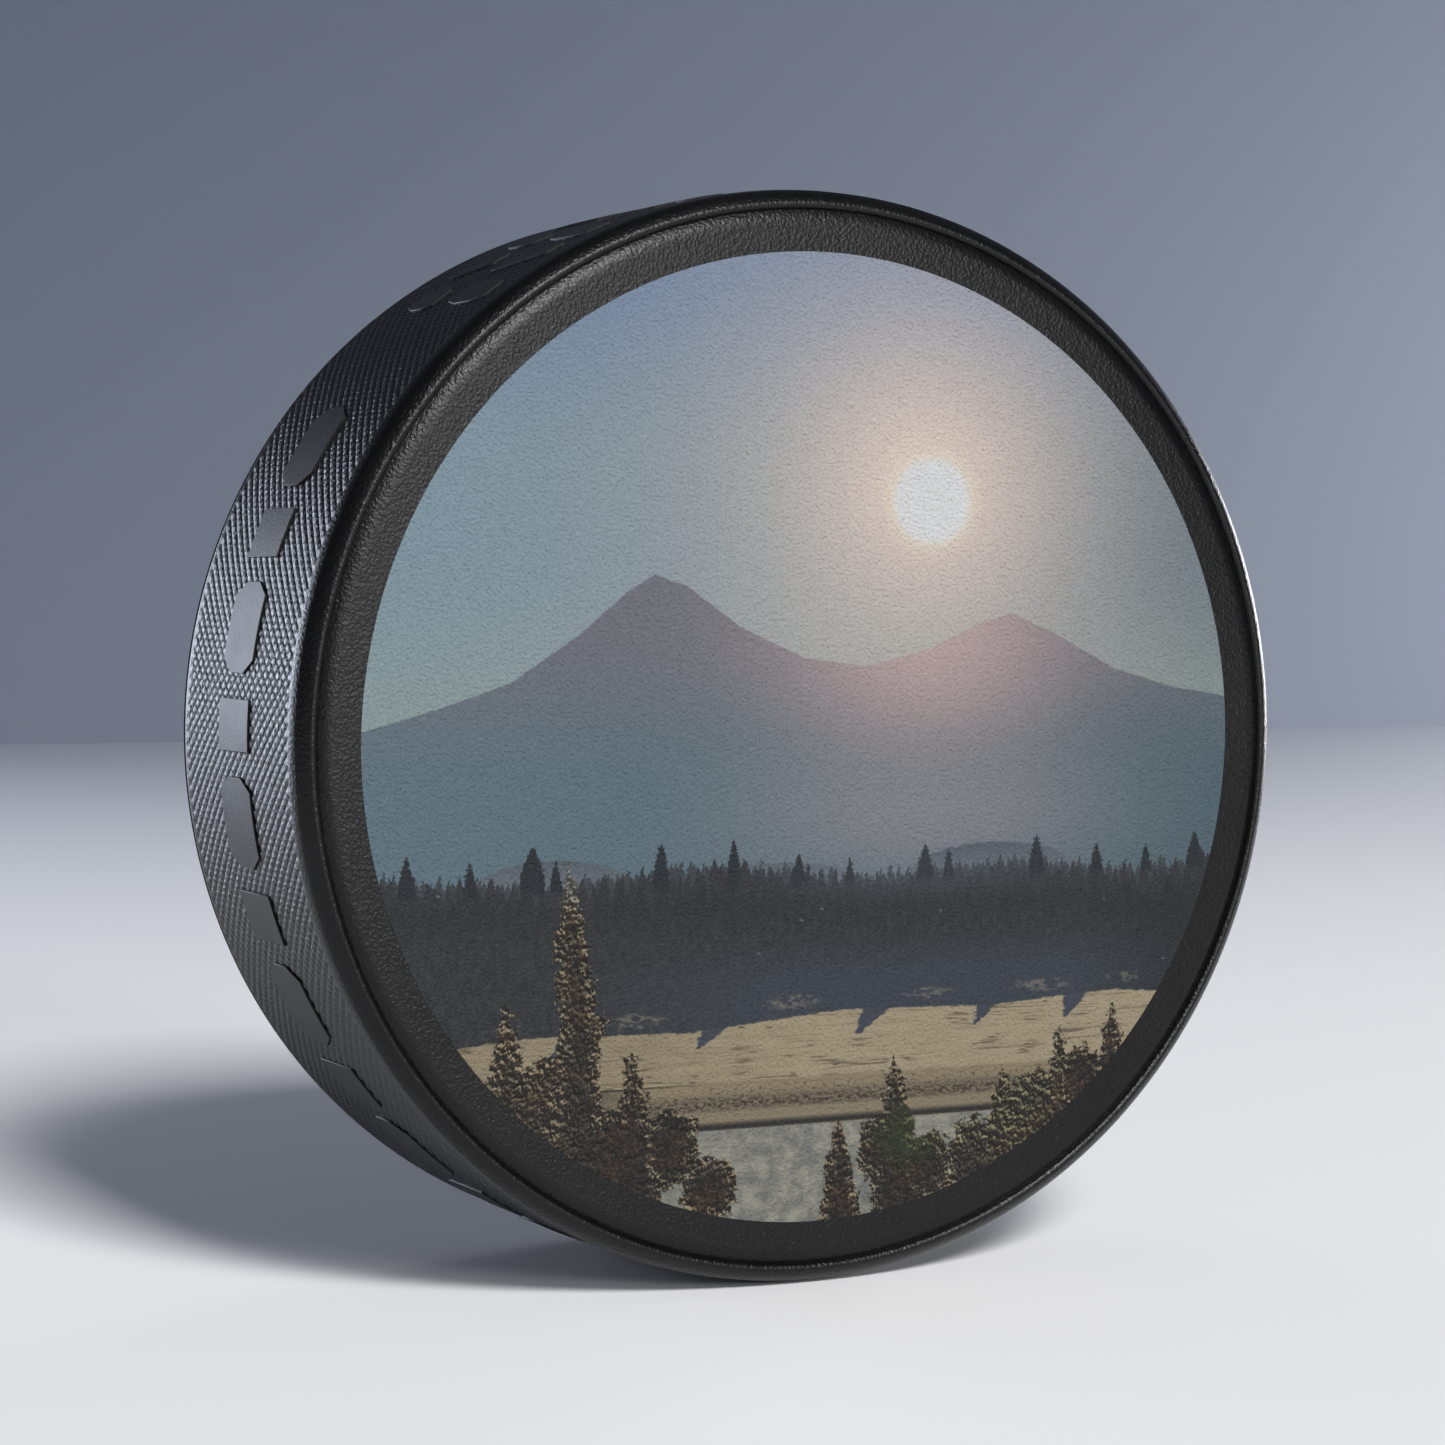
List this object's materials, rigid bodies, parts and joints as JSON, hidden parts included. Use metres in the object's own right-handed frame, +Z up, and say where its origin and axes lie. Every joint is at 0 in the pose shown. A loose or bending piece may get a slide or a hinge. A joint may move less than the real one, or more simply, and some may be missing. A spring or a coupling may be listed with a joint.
{
  "type": "hockey puck",
  "caption": "Round black rubber ice hockey puck with a beaded rim, a knurled side wall and a landscape picture printed on one face, standing on its edge.",
  "frame": {"origin": "on the floor, under the middle of the puck, which stands on its edge", "axes": "the puck's axis is along Y; -Y is out of the printed face, +Y out of the plain face, +Z up, and the picture is upright"},
  "size_m": [0.0762, 0.0254, 0.0762],
  "materials": {
    "rubber": "black moulded rubber, satin, fine leathery grain on the faces and a diamond knurl round the side",
    "base_coat": "matte white undercoat of the print",
    "print": "landscape print in muted blue, mauve and tan, following the rubber's grain",
    "clear_coat": "thin clear satin varnish over the print"
  },
  "bodies": {
    "root": {"puck_body": "rubber", "white_base_coat": "base_coat", "colour_print": "print", "clear_coat": "clear_coat"}
  },
  "joints": []
}
